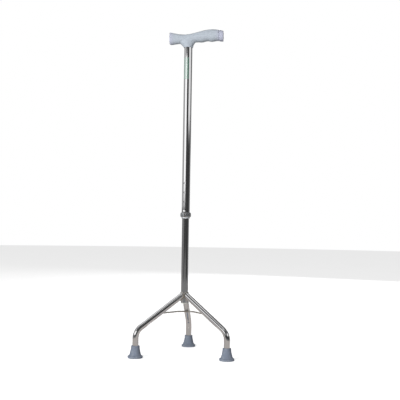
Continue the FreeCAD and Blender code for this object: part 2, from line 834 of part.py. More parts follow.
def make_grip_blank():
    """The moulded handle before it is bored: a T of one long grip and a flared neck."""
    wing, grip = sheet.get("wing_length"), sheet.get("grip_length")
    wires = [upright_oval(-wing * share, *rest) for share, *rest in WING_SECTIONS]
    wires += [upright_oval(grip * share, *rest) for share, *rest in GRIP_SECTIONS]
    bar = loft(wires)
    tip_edges = [e for e in bar.Edges if abs(e.CenterOfMass.x + wing) < 1e-3]
    bar = bar.makeFillet(sheet.get("wing_round"), tip_edges)
    stem_wires = [
        oval(neck_r.value + longer, neck_r.value + wider, Vector(1, 0, 0), Vector(0, 1, 0),
             Vector(middle, 0, height), 2)
        for height, middle, longer, wider in NECK_SECTIONS]
    blank = doc.addObject("Part::Feature", "grip_blank")
    blank.Shape = bar.fuse(loft(stem_wires)).removeSplitter()
    blank.Placement = Placement(Vector(0, 0, sheet.get("neck_height")), Rotation())
    return blank


def cylinder(name, radius, height, placement):
    made = doc.addObject("Part::Cylinder", name)
    made.setExpression("Radius", radius.text)
    made.setExpression("Height", height.text)
    place(made, placement)
    return made


def make_grip():
    blank = make_grip_blank()
    socket = cylinder("socket_tool", upper_r, dim("socket_depth") + 1, move(0, 0, neck - 1))
    outward = f"{TURN} * {move(0, 0, neck + dim('screw_rise'), (1, 0, 0), -90)}"
    hole = cylinder("screw_hole_tool", screw_hole_r, neck_r * 2, outward)
    recess_at = f"{TURN} * {move(0, screw_seat, neck + dim('screw_rise'), (1, 0, 0), -90)}"
    recess = cylinder("screw_recess_tool", dim("screw_head_radius") + dim("screw_recess_gap"),
                      neck_r, recess_at)
    spigot_depth = dim("cap_spigot_length") + 0.5
    spigot_at = move(dim("grip_length") - spigot_depth, 0, neck + cap_middle(), (0, 1, 0), 90)
    pocket_tool = cylinder("cap_pocket_tool", dim("cap_spigot_radius"), spigot_depth + 1, spigot_at)
    tools = doc.addObject("Part::MultiFuse", "grip_tools")
    tools.Shapes = [socket, hole, recess, pocket_tool]
    return boolean("Cut", "handle_grip", blank, tools)


def cap_middle():
    top, bottom = GRIP_SECTIONS[-1][1:3]
    return (top + bottom) / 2


def make_end_cap():
    """The cap that closes the grip's front end, with a spigot that plugs into the grip."""
    grip, length = sheet.get("grip_length"), sheet.get("cap_length")
    _, top, bottom, half_width = GRIP_SECTIONS[-1]
    wires = [
        upright_oval(grip + length * share, top + d_top, bottom + d_bottom, half_width + d_width)
        for share, d_top, d_bottom, d_width in CAP_SECTIONS]
    shell = doc.addObject("Part::Feature", "cap_shell")
    shell.Shape = loft(wires)
    shell.Placement = Placement(Vector(0, 0, sheet.get("neck_height")), Rotation())
    spigot_at = move(dim("grip_length") - dim("cap_spigot_length"), 0, neck + cap_middle(),
                     (0, 1, 0), 90)
    spigot = cylinder("cap_spigot", dim("cap_spigot_radius"), dim("cap_spigot_length") + 1,
                      spigot_at)
    return boolean("Fuse", "grip_end_cap", shell, spigot)


def make_film():
    """A blank clear film wrapped part of the way round the upper tube."""
    body = new_body("label_film")
    outer = upper_r + dim("film_thickness")
    height = dim("film_height")
    revolve(body, "label_film_wrap", [(upper_r, 0), (outer, 0), (outer, height), (upper_r, height)],
            dim("film_sweep"))
    bottom = neck - dim("film_gap") - height
    place(body, move(0, 0, bottom, (0, 0, 1), FILM_START))
    return body


# ---- build, check and write ----

def check(parts):
    doc.recompute()
    for item in doc.Objects:
        if "Invalid" in item.State or "Error" in item.State:
            raise RuntimeError(f"{item.Name} failed: {item.State}")
    for part in parts:
        if part.Shape.isNull() or not part.Shape.isValid() or not part.Shape.Solids:
            raise RuntimeError(f"{part.Label} has no sound shape")


def main():
    parts = [
        make_upper_tube(), make_lower_tube(), make_guide_bush(), make_stem_plug(),
        make_snap_button(), make_snap_spring(), make_collet(), make_lock_nut(),
        make_insert(), make_screw(), make_grip(), make_end_cap(), make_film(), *make_brace()]
    for side in LEG_AZIMUTHS:
        parts += [make_leg(side), make_leg_weld(side), make_tip(side), make_washer(side)]
    check(parts)
    os.makedirs("parts", exist_ok=True)
    for part in parts:
        part.Shape.exportStep(f"parts/{part.Label}.step")
        print(f"{part.Label}: {len(part.Shape.Solids)} solid(s), {part.Shape.Volume:.1f} mm3")


main()
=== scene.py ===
import bmesh
import bpy
import json
import math
from mathutils import Matrix, Vector


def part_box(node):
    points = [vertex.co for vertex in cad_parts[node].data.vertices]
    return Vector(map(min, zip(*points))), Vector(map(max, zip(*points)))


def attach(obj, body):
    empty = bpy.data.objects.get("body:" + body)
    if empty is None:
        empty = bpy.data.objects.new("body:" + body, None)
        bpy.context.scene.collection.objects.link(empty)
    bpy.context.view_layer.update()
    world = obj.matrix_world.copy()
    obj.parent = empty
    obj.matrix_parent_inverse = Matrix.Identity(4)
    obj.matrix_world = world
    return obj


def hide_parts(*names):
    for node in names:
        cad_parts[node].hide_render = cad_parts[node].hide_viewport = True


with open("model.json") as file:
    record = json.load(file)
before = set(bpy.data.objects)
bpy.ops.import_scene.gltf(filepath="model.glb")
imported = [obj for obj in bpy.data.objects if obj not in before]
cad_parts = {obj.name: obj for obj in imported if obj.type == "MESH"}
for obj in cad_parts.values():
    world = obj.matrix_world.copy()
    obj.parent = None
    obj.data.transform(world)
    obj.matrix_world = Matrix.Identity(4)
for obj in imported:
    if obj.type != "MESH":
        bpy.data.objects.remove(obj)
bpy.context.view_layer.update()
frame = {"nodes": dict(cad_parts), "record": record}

# A walking cane: a moulded grip on a chromed telescopic shaft, a lock nut and snap button where
# the tubes meet, and three splayed legs with flared rubber tips. Lengths are in metres and angles in
# degrees, and azimuths go from +X towards +Y, unless it is said otherwise.
MM = 0.001
ON_AXIS = 1e-7                     # a point nearer the axis than this is on it
LEG_AZIMUTHS = {"left": 210.0, "right": 330.0, "rear": 90.0}
BUTTON_AZIMUTH = 255.0
FILM_AZIMUTHS = (178.0, 288.0)     # the upright edges of the clear film
CAMERA_AZIMUTH = 5.79              # from -Y towards +X
CAMERA_DISTANCE = 2.0291           # level distance from the shaft
CAMERA_TURN = (1.0745, -1.7622, 0.8852)   # yaw, pitch and roll
EYE_HEIGHT = 0.35406               # of the camera, and of the middle of the dome of cards
SENSOR_WIDTH = 36.0                # in millimetres, as the lens is
LENS = 67.527
CARD_RADIUS = 2.7                  # of the dome that the reflected cards lie on


# ---- places read from the frame ----

grip_low, grip_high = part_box("handle_grip")
tube_low, tube_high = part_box("upper_tube")
stem_low, stem_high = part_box("lower_tube")
nut_low, nut_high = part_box("lock_nut")
collet_low, collet_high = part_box("collet")
button_low, button_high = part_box("snap_button")
film_low, film_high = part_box("label_film")
plug_low, plug_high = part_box("stem_plug")
tip_low, tip_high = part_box("tip_rear")
neck_height = grip_low.z
tube_radius = tube_high.x
stem_radius = stem_high.x
leg_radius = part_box("leg_rear")[1].x
cap_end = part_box("grip_end_cap")[1].x
foot_reach = (tip_low.y + tip_high.y) / 2


# ---- mesh helpers ----

def softened(corners, steps=4, most=0.48):
    """A closed outline through (x, y, rounding) corners, each corner eased by its rounding.

    An eased corner takes at most a set share of the sides that meet at it.
    """
    outline = []
    for i, (x, y, rounding) in enumerate(corners):
        here = Vector((x, y))
        if rounding == 0:
            outline.append(here)
            continue
        before = Vector(corners[i - 1][:2]) - here
        after = Vector(corners[(i + 1) % len(corners)][:2]) - here
        reach = rounding / math.tan(before.angle(after) / 2)
        reach = min(reach, before.length * most, after.length * most)
        start, end = here + before.normalized() * reach, here + after.normalized() * reach
        for k in range(steps + 1):
            t = k / steps
            outline.append(start * (1 - t) ** 2 + here * (2 * t * (1 - t)) + end * t * t)
    return outline


def skin(rings, closed=False):
    """A mesh over rings of points that all have the same count; a one-point ring is a pole."""
    bm = bmesh.new()
    rows = [[bm.verts.new(p) for p in ring] for ring in rings]
    pairs = list(zip(rows, rows[1:]))
    if closed:
        pairs.append((rows[-1], rows[0]))
    for low, high in pairs:
        count = max(len(low), len(high))
        if len(low) == 1 and len(high) == 1:
            continue
        for k in range(count):
            n = (k + 1) % count
            if len(low) == 1:
                bm.faces.new((low[0], high[n], high[k]))
            elif len(high) == 1:
                bm.faces.new((low[k], low[n], high[0]))
            else:
                bm.faces.new((low[k], low[n], high[n], high[k]))
    if not closed:
        for row in (rows[0], rows[-1]):
            if len(row) > 2:
                bm.faces.new(row)
    bmesh.ops.recalc_face_normals(bm, faces=bm.faces)
    return bm


def turned(outline, segments=96, shape=None):
    """An outline of (radius, height) points turned about Z; shape(angle, point) may move a point."""
    rings = []
    for point in outline:
        if point[0] < ON_AXIS:
            rings.append([Vector((0, 0, point[1]))])
            continue
        ring = []
        for k in range(segments):
            angle = 2 * math.pi * k / segments
            r, z = shape(angle, point) if shape else point
            ring.append(Vector((r * math.cos(angle), r * math.sin(angle), z)))
        rings.append(ring)
    return skin(rings, closed=outline[0][0] > ON_AXIS or outline[-1][0] > ON_AXIS)


def flowing(table, x):
    """The values at x of a smooth curve through a table of (x, values...), in rising x."""
    last = len(table) - 1
    i = max(0, min(last - 1, sum(x >= row[0] for row in table) - 1))
    low, high = table[i], table[i + 1]
    span = high[0] - low[0]
    t = (x - low[0]) / span
    values = []
    for k in range(1, len(low)):
        slopes = []
        for j in (i, i + 1):
            a, b = table[max(0, j - 1)], table[min(last, j + 1)]
            slopes.append((b[k] - a[k]) / (b[0] - a[0]) * span)
        values.append(
            low[k] * (2 * t ** 3 - 3 * t ** 2 + 1) + slopes[0] * (t ** 3 - 2 * t ** 2 + t)
            + high[k] * (3 * t ** 2 - 2 * t ** 3) + slopes[1] * (t ** 3 - t ** 2))
    return values


def oval(middle, along, across, power, count=72):
    """A closed ring about a middle point; a power of 2 is an ellipse and more is squarer."""
    ring = []
    for k in range(count):
        angle = 2 * math.pi * k / count
        c, s = math.cos(angle), math.sin(angle)
        ring.append(
            middle + along * math.copysign(abs(c) ** (2 / power), c)
            + across * math.copysign(abs(s) ** (2 / power), s))
    return ring


def smooth_faces(mesh):
    for face in mesh.polygons:
        face.use_smooth = True


def object_from(bm, name):
    """A smooth object made from a mesh being built, which is used up."""
    mesh = bpy.data.meshes.new(name)
    bm.to_mesh(mesh)
    bm.free()
    smooth_faces(mesh)
    made = bpy.data.objects.new(name, mesh)
    bpy.context.scene.collection.objects.link(made)
    return made


def apply_modifiers(obj):
    """Turns the object's mesh into what its modifiers make of it."""
    graph = bpy.context.evaluated_depsgraph_get()
    made = bpy.data.meshes.new_from_object(obj.evaluated_get(graph))
    obj.modifiers.clear()
    obj.data = made


def modify(obj, kind, **settings):
    """Adds one modifier and applies it at once."""
    modifier = obj.modifiers.new(kind.lower(), kind)
    for name, value in settings.items():
        setattr(modifier, name, value)
    apply_modifiers(obj)


def joined(parts, name):
    """Several closed meshes as one mesh."""
    bm = bmesh.new()
    for part in parts:
        scrap = bpy.data.meshes.new("scrap")
        part.to_mesh(scrap)
        part.free()
        bm.from_mesh(scrap)
        bpy.data.meshes.remove(scrap)
    return object_from(bm, name)


def moved(bm, matrix):
    bmesh.ops.transform(bm, matrix=matrix, verts=bm.verts)
    return bm


def about_z(degrees):
    return Matrix.Rotation(math.radians(degrees), 4, "Z")


def crease_sharp(obj, degrees=38):
    """Keeps true corners crisp and everything else smooth."""
    obj.data.set_sharp_from_angle(angle=math.radians(degrees))
    return obj


def fit(obj, finish, body, slot, *nodes):
    """Gives a new piece its finish and its body, and hides the plain CAD nodes it stands for."""
    obj.data.materials.clear()
    obj.data.materials.append(finish)
    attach(obj, body)
    if nodes:
        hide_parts(*nodes)


# ---- material helpers ----

class Wire:
    """One output in a material; arithmetic on it adds Math nodes."""

    def __init__(self, graph, socket):
        self.graph = graph
        self.socket = socket

    def math(self, operation, *others):
        values = dict(enumerate((self, *others)))
        return self.graph.node("ShaderNodeMath", {"operation": operation}, values)

    def __add__(self, other):
        return self.math("ADD", other)

    __radd__ = __add__

    def __sub__(self, other):
        return self.math("SUBTRACT", other)

    def __rsub__(self, other):
        return self.graph.node("ShaderNodeMath", {"operation": "SUBTRACT"}, {0: other, 1: self})

    def __mul__(self, other):
        return self.math("MULTIPLY", other)

    __rmul__ = __mul__

    def __pow__(self, other):
        return self.math("POWER", other)

    def __abs__(self):
        return self.math("ABSOLUTE")


class Graph:
    """A node tree, with short ways to add what this scene uses."""

    def __init__(self, tree):
        self.tree = tree
        self.tree.nodes.clear()

    def node(self, kind, settings, sockets, out=0):
        """A node with its settings, then its sockets' values or links; gives one of its outputs."""
        made = self.tree.nodes.new(kind)
        for name, value in settings.items():
            setattr(made, name, value)
        for key, value in sockets.items():
            if isinstance(value, Wire):
                self.tree.links.new(value.socket, made.inputs[key])
            else:
                made.inputs[key].default_value = value
        return None if out is None else Wire(self, made.outputs[out])

    def band(self, value, low, high):
        """0 below low, 1 above high and smooth between; a falling one where low is the greater."""
        return self.node("ShaderNodeMapRange", {"interpolation_type": "SMOOTHSTEP"},
                         {"Value": value, "From Min": low, "From Max": high})

    def split(self, place):
        """The three coordinates of a place, each a wire."""
        return [self.node("ShaderNodeSeparateXYZ", {}, {0: place}, axis) for axis in range(3)]

    def blend(self, share, first, second):
        """From the first colour to the second, by share."""
        return self.node("ShaderNodeMix", {"data_type": "RGBA"}, {0: share, 6: first, 7: second}, 2)


class Finish(Graph):
    """A material, with the nodes that its surface is made from."""

    def __init__(self, name, **constants):
        self.material = bpy.data.materials.new(name)
        self.material.use_nodes = True
        super().__init__(self.material.node_tree)
        self.surface = self.tree.nodes.new("ShaderNodeBsdfPrincipled")
        out = self.tree.nodes.new("ShaderNodeOutputMaterial")
        self.tree.links.new(self.surface.outputs[0], out.inputs[0])
        for socket, value in constants.items():
            self.surface.inputs[socket.replace("_", " ")].default_value = value
        self.place = self.node("ShaderNodeTexCoord", {}, {}, "Object")

    def stretched(self, stretch):
        """The place, squeezed along each axis where the pattern should be drawn out."""
        if stretch is None:
            return self.place
        return self.node("ShaderNodeVectorMath", {"operation": "MULTIPLY"}, {0: self.place, 1: stretch})

    def noise(self, scale, detail=4.0, stretch=None):
        """Cloudy noise, at a scale in cycles per metre."""
        sockets = {"Vector": self.stretched(stretch), "Scale": scale, "Detail": detail,
                   "Roughness": 0.55}
        return self.node("ShaderNodeTexNoise", {}, sockets, "Fac")

    def relief(self, height, depth, distance=0.001):
        """Adds a height pattern to the surface, on top of any that is there."""
        sockets = {"Height": height, "Strength": depth, "Distance": distance}
        normal = self.surface.inputs["Normal"]
        if normal.is_linked:
            sockets["Normal"] = Wire(self, normal.links[0].from_socket)
        self.set(Normal=self.node("ShaderNodeBump", {}, sockets))

    def set(self, **wires):
        """Links wires to the surface's sockets, whose names take _ for a space."""
        for socket, wire in wires.items():
            self.tree.links.new(wire.socket, self.surface.inputs[socket.replace("_", " ")])


def grey(level):
    return (level, level, level, 1.0)


# ---- finishes ----

def polished_chrome(name):
    """Bright plating on steel tube: fine polishing lines, faint waves, smudges and few specks."""
    f = Finish(name, Metallic=1.0)
    waves = f.noise(14, 2, (1, 1, 0.35))
    smudge = f.band(f.noise(34, 5, (1, 1, 0.5)), 0.55, 0.78)
    lines = f.noise(3400, 2, (1, 1, 0.012))
    specks = f.band(f.noise(700, 2), 0.76, 0.82)
    worn = smudge * 0.22 + specks * 0.2
    f.set(Base_Color=f.blend(worn, (0.83, 0.83, 0.84, 1), (0.68, 0.66, 0.64, 1)))
    f.set(Roughness=0.05 + smudge * 0.05 + lines * 0.03 + specks * 0.1)
    f.relief(waves, 0.04, 0.003)
    f.relief(lines, 0.015, 0.0001)
    f.relief(specks, 0.03, 0.0001)
    return f.material


def wire_chrome(name):
    """Drawn rod, plated less brightly than the tubes, with a dull bloom in patches."""
    f = Finish(name, Metallic=1.0)
    bloom = f.band(f.noise(55, 4), 0.42, 0.70)
    lines = f.noise(2600, 2, (0.02, 1, 1))
    f.set(Base_Color=f.blend(bloom, (0.66, 0.65, 0.62, 1), (0.47, 0.44, 0.39, 1)))
    f.set(Roughness=0.18 + bloom * 0.22 + lines * 0.06)
    f.relief(lines, 0.2, 0.0002)
    return f.material


def weld_metal(name):
    """Weld bead under plating: rippled, with straw and brown heat colour."""
    f = Finish(name, Metallic=1.0)
    heat = f.band(f.noise(120, 3), 0.35, 0.7)
    ripple = f.noise(420, 1)
    grain = f.noise(1500, 3)
    f.set(Base_Color=f.blend(heat, (0.72, 0.71, 0.70, 1), (0.45, 0.40, 0.33, 1)))
    f.set(Roughness=0.16 + heat * 0.18 + grain * 0.1)
    f.relief(ripple, 0.6, 0.0008)
    f.relief(grain, 0.3, 0.0003)
    return f.material


def moulded_grip(name):
    """Pale blue-grey plastic: spark-eroded grain, a parting line along the middle, palm polish, and a
    painted lighter lavender highlight towards both ends.
    """
    f = Finish(name, IOR=1.47, Specular_IOR_Level=0.45)
    x, y, z = f.split(f.place)
    cloud = f.noise(22, 4)
    grain = f.noise(2300, 3)
    orange_peel = f.noise(520, 2)
    palm_low, palm_high = neck_height + 30 * MM, neck_height + 47 * MM
    middle, plain_half, end_half, seam_half = 18 * MM, 52 * MM, 72 * MM, 0.55 * MM
    handled = f.band(z + cloud * (6 * MM), palm_low, palm_high)
    # A painted lighter lavender highlight, fading in towards both ends of the handle.
    ends = f.band(abs(x - middle), plain_half, end_half)
    scuffs = f.band(f.noise(260, 3, (0.12, 1, 1)), 0.66, 0.76)
    seam = f.band(abs(y), seam_half, 0.0)
    grime = f.band(f.noise(70, 5), 0.50, 0.75)
    blue = f.blend(cloud, (0.420, 0.470, 0.530, 1), (0.470, 0.515, 0.570, 1))
    with_end_highlight = f.blend(ends * 0.75, blue, (0.470, 0.475, 0.600, 1))
    dusty = f.blend(grime * 0.22, with_end_highlight, (0.33, 0.36, 0.39, 1))
    f.set(Base_Color=f.blend(scuffs * 0.25 + seam * 0.2, dusty, (0.56, 0.60, 0.65, 1)))
    f.set(Roughness=0.50 - handled * 0.12 + grain * 0.10 + grime * 0.06 - scuffs * 0.08)
    f.relief(grain, 0.12, 0.0001)
    f.relief(orange_peel, 0.07, 0.0002)
    f.relief(seam, 0.6, 0.00025)
    f.relief(scuffs, -0.15, 0.0001)
    return f.material


def tip_rubber(name):
    """Moulded blue-grey rubber with a dusty bloom, fine pimples, scuffed where it meets the floor."""
    f = Finish(name, IOR=1.5, Specular_IOR_Level=0.35)
    z = f.split(f.place)[2]
    cloud = f.noise(60, 4)
    grain = f.noise(1500, 4)
    dust = f.band(f.noise(140, 5), 0.45, 0.72)
    scuff_top, scuff_low, moulding_pitch = 9 * MM, 1 * MM, 1.6 * MM
    scuff_zone = f.band(z, scuff_top, scuff_low)
    scuffs = f.band(f.noise(420, 4, (1, 1, 3)), 0.50, 0.66) * scuff_zone
    ring = (z * (2 * math.pi / moulding_pitch)).math("SINE")
    body = f.blend(cloud, (0.170, 0.200, 0.262, 1), (0.235, 0.268, 0.335, 1))
    worn = f.blend(dust * 0.35, body, (0.36, 0.40, 0.45, 1))
    f.set(Base_Color=f.blend(scuffs * 0.6, worn, (0.43, 0.45, 0.47, 1)))
    f.set(Roughness=0.62 + dust * 0.15 + grain * 0.1 - scuffs * 0.05)
    f.relief(grain, 0.5, 0.0004)
    f.relief(ring, 0.10, 0.0001)
    f.relief(scuffs, -0.4, 0.0002)
    return f.material


def cast_nut(name):
    """Die-cast zinc, satin, mottled, with painted brownish highlights in patches and bright crests."""
    f = Finish(name, Metallic=1.0)
    x, y, _ = f.split(f.place)
    radius = (x * x + y * y) ** 0.5
    flute_radius, crest_radius = 13.9 * MM, 14.4 * MM
    crest = f.band(radius, flute_radius, crest_radius)
    mottle = f.band(f.noise(240, 5), 0.35, 0.70)
    # Painted brownish highlights, in random patches over the zinc.
    brown_highlight = f.band(f.noise(110, 4), 0.48, 0.68)
    grain = f.noise(2200, 3)
    base = f.blend(mottle, (0.58, 0.61, 0.64, 1), (0.40, 0.43, 0.45, 1))
    with_brown_highlight = f.blend(brown_highlight * 0.55, base, (0.36, 0.29, 0.23, 1))
    f.set(Base_Color=f.blend(crest * 0.6, with_brown_highlight, (0.66, 0.67, 0.68, 1)))
    f.set(Roughness=0.30 + mottle * 0.14 - crest * 0.10 + grain * 0.06)
    f.relief(mottle, 0.25, 0.0003)
    f.relief(grain, 0.3, 0.0002)
    return f.material


def satin_plastic(name, light, dark, roughness=0.45):
    """Plain moulded plastic with a fine grain and slight shade changes."""
    f = Finish(name, IOR=1.46)
    cloud = f.noise(180, 4)
    grain = f.noise(2600, 3)
    f.set(Base_Color=f.blend(cloud, light, dark))
    f.set(Roughness=roughness + grain * 0.12 + cloud * 0.05)
    f.relief(grain, 0.3, 0.0002)
    return f.material


def polished_button(name):
    """Bright nickelled dome, rubbed duller in patches by thumbs."""
    f = Finish(name, Metallic=0.35)
    rub = f.band(f.noise(900, 4), 0.5, 0.7)
    f.set(Base_Color=f.blend(rub, (0.95, 0.96, 0.97, 1), (0.84, 0.84, 0.84, 1)))
    f.set(Roughness=0.14 + rub * 0.10)
    f.relief(rub, 0.08, 0.0001)
    return f.material


def plated_steel(name, light, dark):
    """Zinc-plated or tempered steel of small hidden parts."""
    f = Finish(name, Metallic=1.0)
    spangle = f.node("ShaderNodeTexVoronoi", {}, {"Vector": f.place, "Scale": 700.0}, "Distance")
    cloud = f.noise(300, 3)
    f.set(Base_Color=f.blend(cloud, light, dark))
    f.set(Roughness=0.26 + spangle * 0.2)
    f.relief(spangle, 0.1, 0.0001)
    return f.material


def clear_film(name):
    """Thin clear film with a green cast, faint wrinkles and dust caught along its edges."""
    f = Finish(name, IOR=1.4, Specular_IOR_Level=0.5)
    z = f.split(f.place)[2]
    clean, dirty = 2.2 * MM, 0.4 * MM
    low_edge = f.band(z, film_low.z + clean, film_low.z + dirty)
    high_edge = f.band(z, film_high.z - clean, film_high.z - dirty)
    dust = f.band(f.noise(500, 4), 0.55, 0.75)
    wrinkle = f.noise(120, 3, (1, 1, 0.25))
    edge = (low_edge + high_edge) * (0.5 + dust * 0.5)
    f.set(Base_Color=f.blend(edge, (0.42, 0.95, 0.70, 1), (0.70, 0.82, 0.76, 1)))
    f.set(Alpha=0.076 + edge * 0.06 + dust * 0.02)
    f.set(Roughness=0.12 + dust * 0.2)
    f.relief(wrinkle, 0.15, 0.0004)
    return f.material


def weathered_plug(name):
    """Grey-green stopper, matt, rubbed paler in patches."""
    f = Finish(name, IOR=1.5, Specular_IOR_Level=0.3)
    rub = f.band(f.noise(320, 4), 0.42, 0.70)
    grain = f.noise(1900, 3)
    f.set(Base_Color=f.blend(rub, (0.62, 0.62, 0.57, 1), (0.78, 0.77, 0.72, 1)))
    f.set(Roughness=0.66 + grain * 0.15)
    f.relief(grain, 0.45, 0.0003)
    return f.material


FINISHES = {
    "chrome_steel": polished_chrome("polished_chrome_tube"),
    "grip_plastic": moulded_grip("blue_grey_grip"),
    "tip_rubber": tip_rubber("blue_grey_rubber"),
    "nut_zinc": cast_nut("cast_zinc_nut"),
    "collet_plastic": satin_plastic("collet_acetal", (0.62, 0.64, 0.66, 1), (0.50, 0.52, 0.54, 1)),
    "nylon": satin_plastic("natural_nylon", (0.80, 0.80, 0.76, 1), (0.72, 0.71, 0.66, 1)),
    "button_steel": polished_button("polished_button"),
    "screw_steel": plated_steel("zinc_screw", (0.62, 0.63, 0.65, 1), (0.50, 0.50, 0.50, 1)),
    "spring_steel": plated_steel("tempered_strip", (0.42, 0.43, 0.46, 1), (0.30, 0.29, 0.30, 1)),
    "washer_steel": plated_steel("zinc_washer", (0.58, 0.59, 0.60, 1), (0.46, 0.46, 0.47, 1)),
    "weld_steel": weld_metal("plated_weld"),
    "plug_rubber": weathered_plug("stem_stopper"),
    "clear_film": clear_film("green_tinted_film"),
}
WIRE = wire_chrome("plated_rod")

for subpart in frame["record"]["subparts"]:
    node = frame["nodes"][subpart["node"]]
    for slot in node.material_slots:
        slot.material = FINISHES[subpart["material_slot"]]
frame["nodes"]["leg_brace"].material_slots[0].material = WIRE


# ---- handle ----

# Share of the wing from the shaft's axis, then heights of top and bottom above the neck's lower
# end and the half width, in millimetres; then the same along the grip.
WING = [(1.00, 42.6, 9.4, 13.2), (0.90, 41.6, 8.4, 13.1), (0.70, 39.2, 9.8, 12.8),
        (0.48, 37.2, 11.3, 12.75), (0.23, 36.4, 12.4, 12.9)]
GRIP = [(0.00, 37.1, 13.2, 13.2), (0.15, 39.6, 14.6, 13.6), (0.31, 43.1, 15.7, 14.0),
        (0.45, 46.4, 15.2, 14.5), (0.62, 49.1, 18.4, 14.7), (0.77, 50.3, 16.9, 15.1),
        (0.92, 49.3, 19.0, 14.9), (1.00, 48.0, 18.9, 14.5)]
# Height above the neck's lower end, then middle and half length along X, and half width, in
# millimetres.
NECK = [(0.0, 0.0, 12.7, 12.7), (4.0, -0.6, 14.0, 12.9), (9.0, -2.4, 17.3, 13.0),
        (14.0, -3.6, 22.1, 13.1), (25.0, -3.6, 25.2, 12.9)]
GRIP_ROUNDNESS = 2.3               # 2 would be an oval, and more is squarer
BORE_SHARE = 1.004                 # the socket's bore as a share of the tube in it
SCREW_SEAT = 12.05                 # millimetres from the shaft's axis to the seat of the screw's head
# Share of the end cap's depth, then what is added there to the heights of the grip's top and bottom
# and to its half width, in millimetres. The first rows make the shadow gap, the last the edge.
CAP = [(0.00, -0.9, 0.9, -0.9), (0.05, -0.9, 0.9, -0.9), (0.07, 0.1, -0.5, 0.2),
       (0.12, 0.3, -0.9, 0.5), (0.40, -0.5, -1.1, 0.5), (0.68, -1.5, -1.3, 0.5),
       (0.82, -1.8, -1.3, 0.45), (0.91, -2.1, -1.25, 0.3), (0.97, -2.6, -0.9, 0.0),
       (1.00, -3.3, -0.1, -0.8)]
# The dished face: how deep each ring lies, then the same three, in millimetres.
CAP_FACE = [(0.05, -5.6, 2.2, -2.8), (0.35, -6.8, 3.4, -4.0)]
CAP_CENTRE = (0.35, 1.5)           # millimetres that the face's middle lies deep, and low


def bar_table():
    """The handle's outline as (x, top, bottom, half width) in metres, in the row frame."""
    rows = [(grip_low.x * share, *sizes) for share, *sizes in WING]
    rows += [(grip_high.x * share, *sizes) for share, *sizes in GRIP]
    return [(x, neck_height + top * MM, neck_height + bottom * MM, half * MM)
            for x, top, bottom, half in rows]


def across_ring(x, top, bottom, half_width, inset=0.0):
    """A ring across the handle at x, drawn in by inset all round."""
    middle = Vector((x, 0, (top + bottom) / 2))
    half_height = (top - bottom) / 2 - inset
    return oval(middle, Vector((0, half_width - inset, 0)), Vector((0, 0, half_height)),
                GRIP_ROUNDNESS)


def eased_end(x, inward, sizes, rounding, steps=5):
    """Rings that round off an end at x; inward is +1 or -1, the way into the piece."""
    rings = []
    for k in range(steps):
        angle = math.pi / 2 * k / steps
        inset = rounding * (1 - math.sin(angle))
        rings.append(across_ring(x + inward * rounding * (1 - math.cos(angle)), *sizes, inset))
    return rings


def make_handle():
    """The bar and its flared neck grown into one skin, then bored for the tube."""
    table = bar_table()
    start, end = table[0][0], table[-1][0]
    wing_round, front_round = 2.2 * MM, 0.8 * MM
    bar_steps, neck_steps = 84, 40
    rings = eased_end(start, 1, table[0][1:], wing_round)
    for k in range(bar_steps + 1):
        x = start + wing_round + (end - front_round - start - wing_round) * k / bar_steps
        rings.append(across_ring(x, *flowing(table, x)))
    rings += eased_end(end, -1, table[-1][1:], front_round)[::-1]
    bar = skin(rings)
    neck_rings = []
    for k in range(neck_steps + 1):
        height = NECK[-1][0] * k / neck_steps
        middle, long, wide = flowing(NECK, height)
        at = Vector((middle * MM, 0, neck_height + height * MM))
        neck_rings.append(oval(at, Vector((long * MM, 0, 0)), Vector((0, wide * MM, 0)), 2))
    handle = joined([bar, skin(neck_rings)], "handle_moulding")
    modify(handle, "REMESH", mode="VOXEL", voxel_size=0.75 * MM, adaptivity=0.0)
    modify(handle, "SMOOTH", factor=0.5, iterations=14)
    bore, overrun = tube_radius * BORE_SHARE, 2 * MM
    depth = tube_high.z - neck_height + overrun
    bore_outline = softened([(0, 0, 0), (bore, 0, 0), (bore, depth, 0), (0, depth, 0)])
    below_neck = Matrix.Translation((0, 0, neck_height - overrun))
    cutter = object_from(moved(turned(bore_outline), below_neck), "bore_cutter")
    modify(handle, "BOOLEAN", operation="DIFFERENCE", object=cutter, solver="EXACT")
    screw_low, screw_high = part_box("handle_screw")
    seat = SCREW_SEAT * MM
    recess_r, reach = 3.8 * MM, 20 * MM
    recess = turned([(0, 0), (recess_r, 0), (recess_r, reach), (0, reach)], 48)
    screw_at = Vector((0, 0, (screw_low.z + screw_high.z) / 2))
    # The screw goes in from the side away from the button.
    outward = about_z(BUTTON_AZIMUTH - 180 - 90) @ Matrix.Rotation(math.radians(-90), 4, "X")
    place = Matrix.Translation(screw_at) @ outward @ Matrix.Translation((0, 0, seat))
    recess_cutter = object_from(moved(recess, place), "recess_cutter")
    modify(handle, "BOOLEAN", operation="DIFFERENCE", object=recess_cutter, solver="EXACT")
    for tool in (cutter, recess_cutter):
        bpy.data.objects.remove(tool)
    smooth_faces(handle.data)
    crease_sharp(handle, 45)
    fit(handle, FINISHES["grip_plastic"], "upper", "grip_plastic", "handle_grip")


def make_end_cap():
    """The close-fitting cap: a fine shadow gap, a full band, then a rounded end face."""
    _, top, bottom, half = bar_table()[-1]
    face = grip_high.x
    depth = cap_end - face

    def ring_at(x, d_top, d_bottom, d_half):
        return across_ring(x, top + d_top * MM, bottom + d_bottom * MM, half + d_half * MM)

    rings = [ring_at(face + depth * share, *sizes) for share, *sizes in CAP]
    rings += [ring_at(cap_end - deep * MM, *sizes) for deep, *sizes in CAP_FACE]
    deep, low = CAP_CENTRE
    rings.append([Vector((cap_end - deep * MM, 0, (top + bottom) / 2 - low * MM))])
    cap = crease_sharp(object_from(skin(rings), "end_cap"), 50)
    fit(cap, FINISHES["grip_plastic"], "upper", "grip_plastic", "grip_end_cap")


make_handle()
make_end_cap()


# ---- lock nut, collet and button ----

